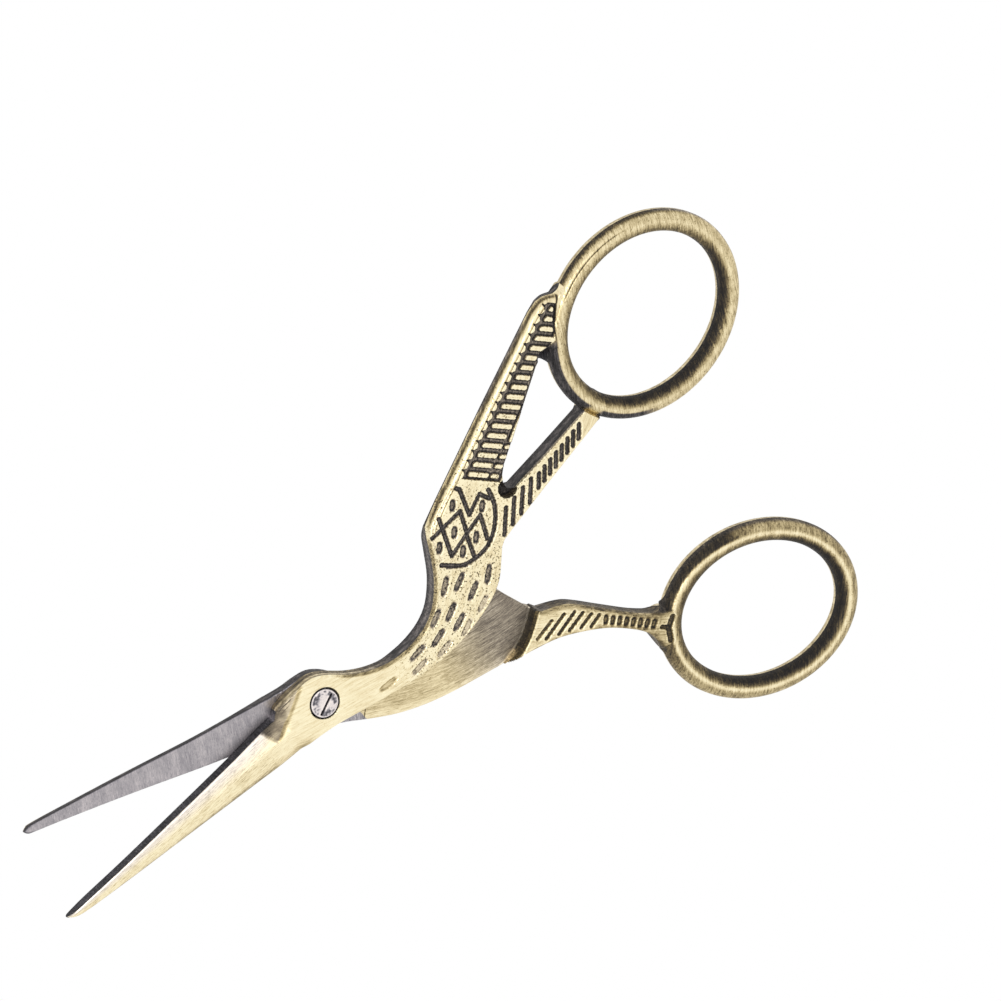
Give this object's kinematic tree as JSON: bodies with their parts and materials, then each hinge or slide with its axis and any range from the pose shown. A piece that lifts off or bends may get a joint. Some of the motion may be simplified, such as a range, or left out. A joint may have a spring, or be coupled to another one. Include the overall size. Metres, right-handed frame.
{
  "type": "stork embroidery scissors",
  "caption": "Small cast metal scissors shaped like a standing bird: tapered blades for a beak, two finger rings, a ribbed wing and legs, one slotted pivot screw.",
  "frame": {"origin": "on the pivot axis, in the plane of the rear half's underside, which is the plane that the scissors lie on", "axes": "+X from the blades towards the finger rings along the middle of the opening, +Y towards the thumb ring, +Z along the pivot axis towards the screw's slotted head"},
  "size_m": [0.1239, 0.0741, 0.0042],
  "materials": {
    "front_half": "antique plated carbon steel, brushed and patinated, ground bare at the blade",
    "rear_half": "antique plated carbon steel, brushed and patinated, ground bare at the blade and lap",
    "screw": "bare steel, lightly worn"
  },
  "bodies": {
    "rear": {"rear_half": "rear_half", "pivot_screw": "screw"},
    "front": {"stork_half": "front_half"}
  },
  "joints": [
    {"name": "pivot", "type": "hinge", "parent": "rear", "child": "front", "pos_m": [0, 0, 0], "axis": [0, 0, 1], "range_deg": [-18.7, 50]}
  ]
}
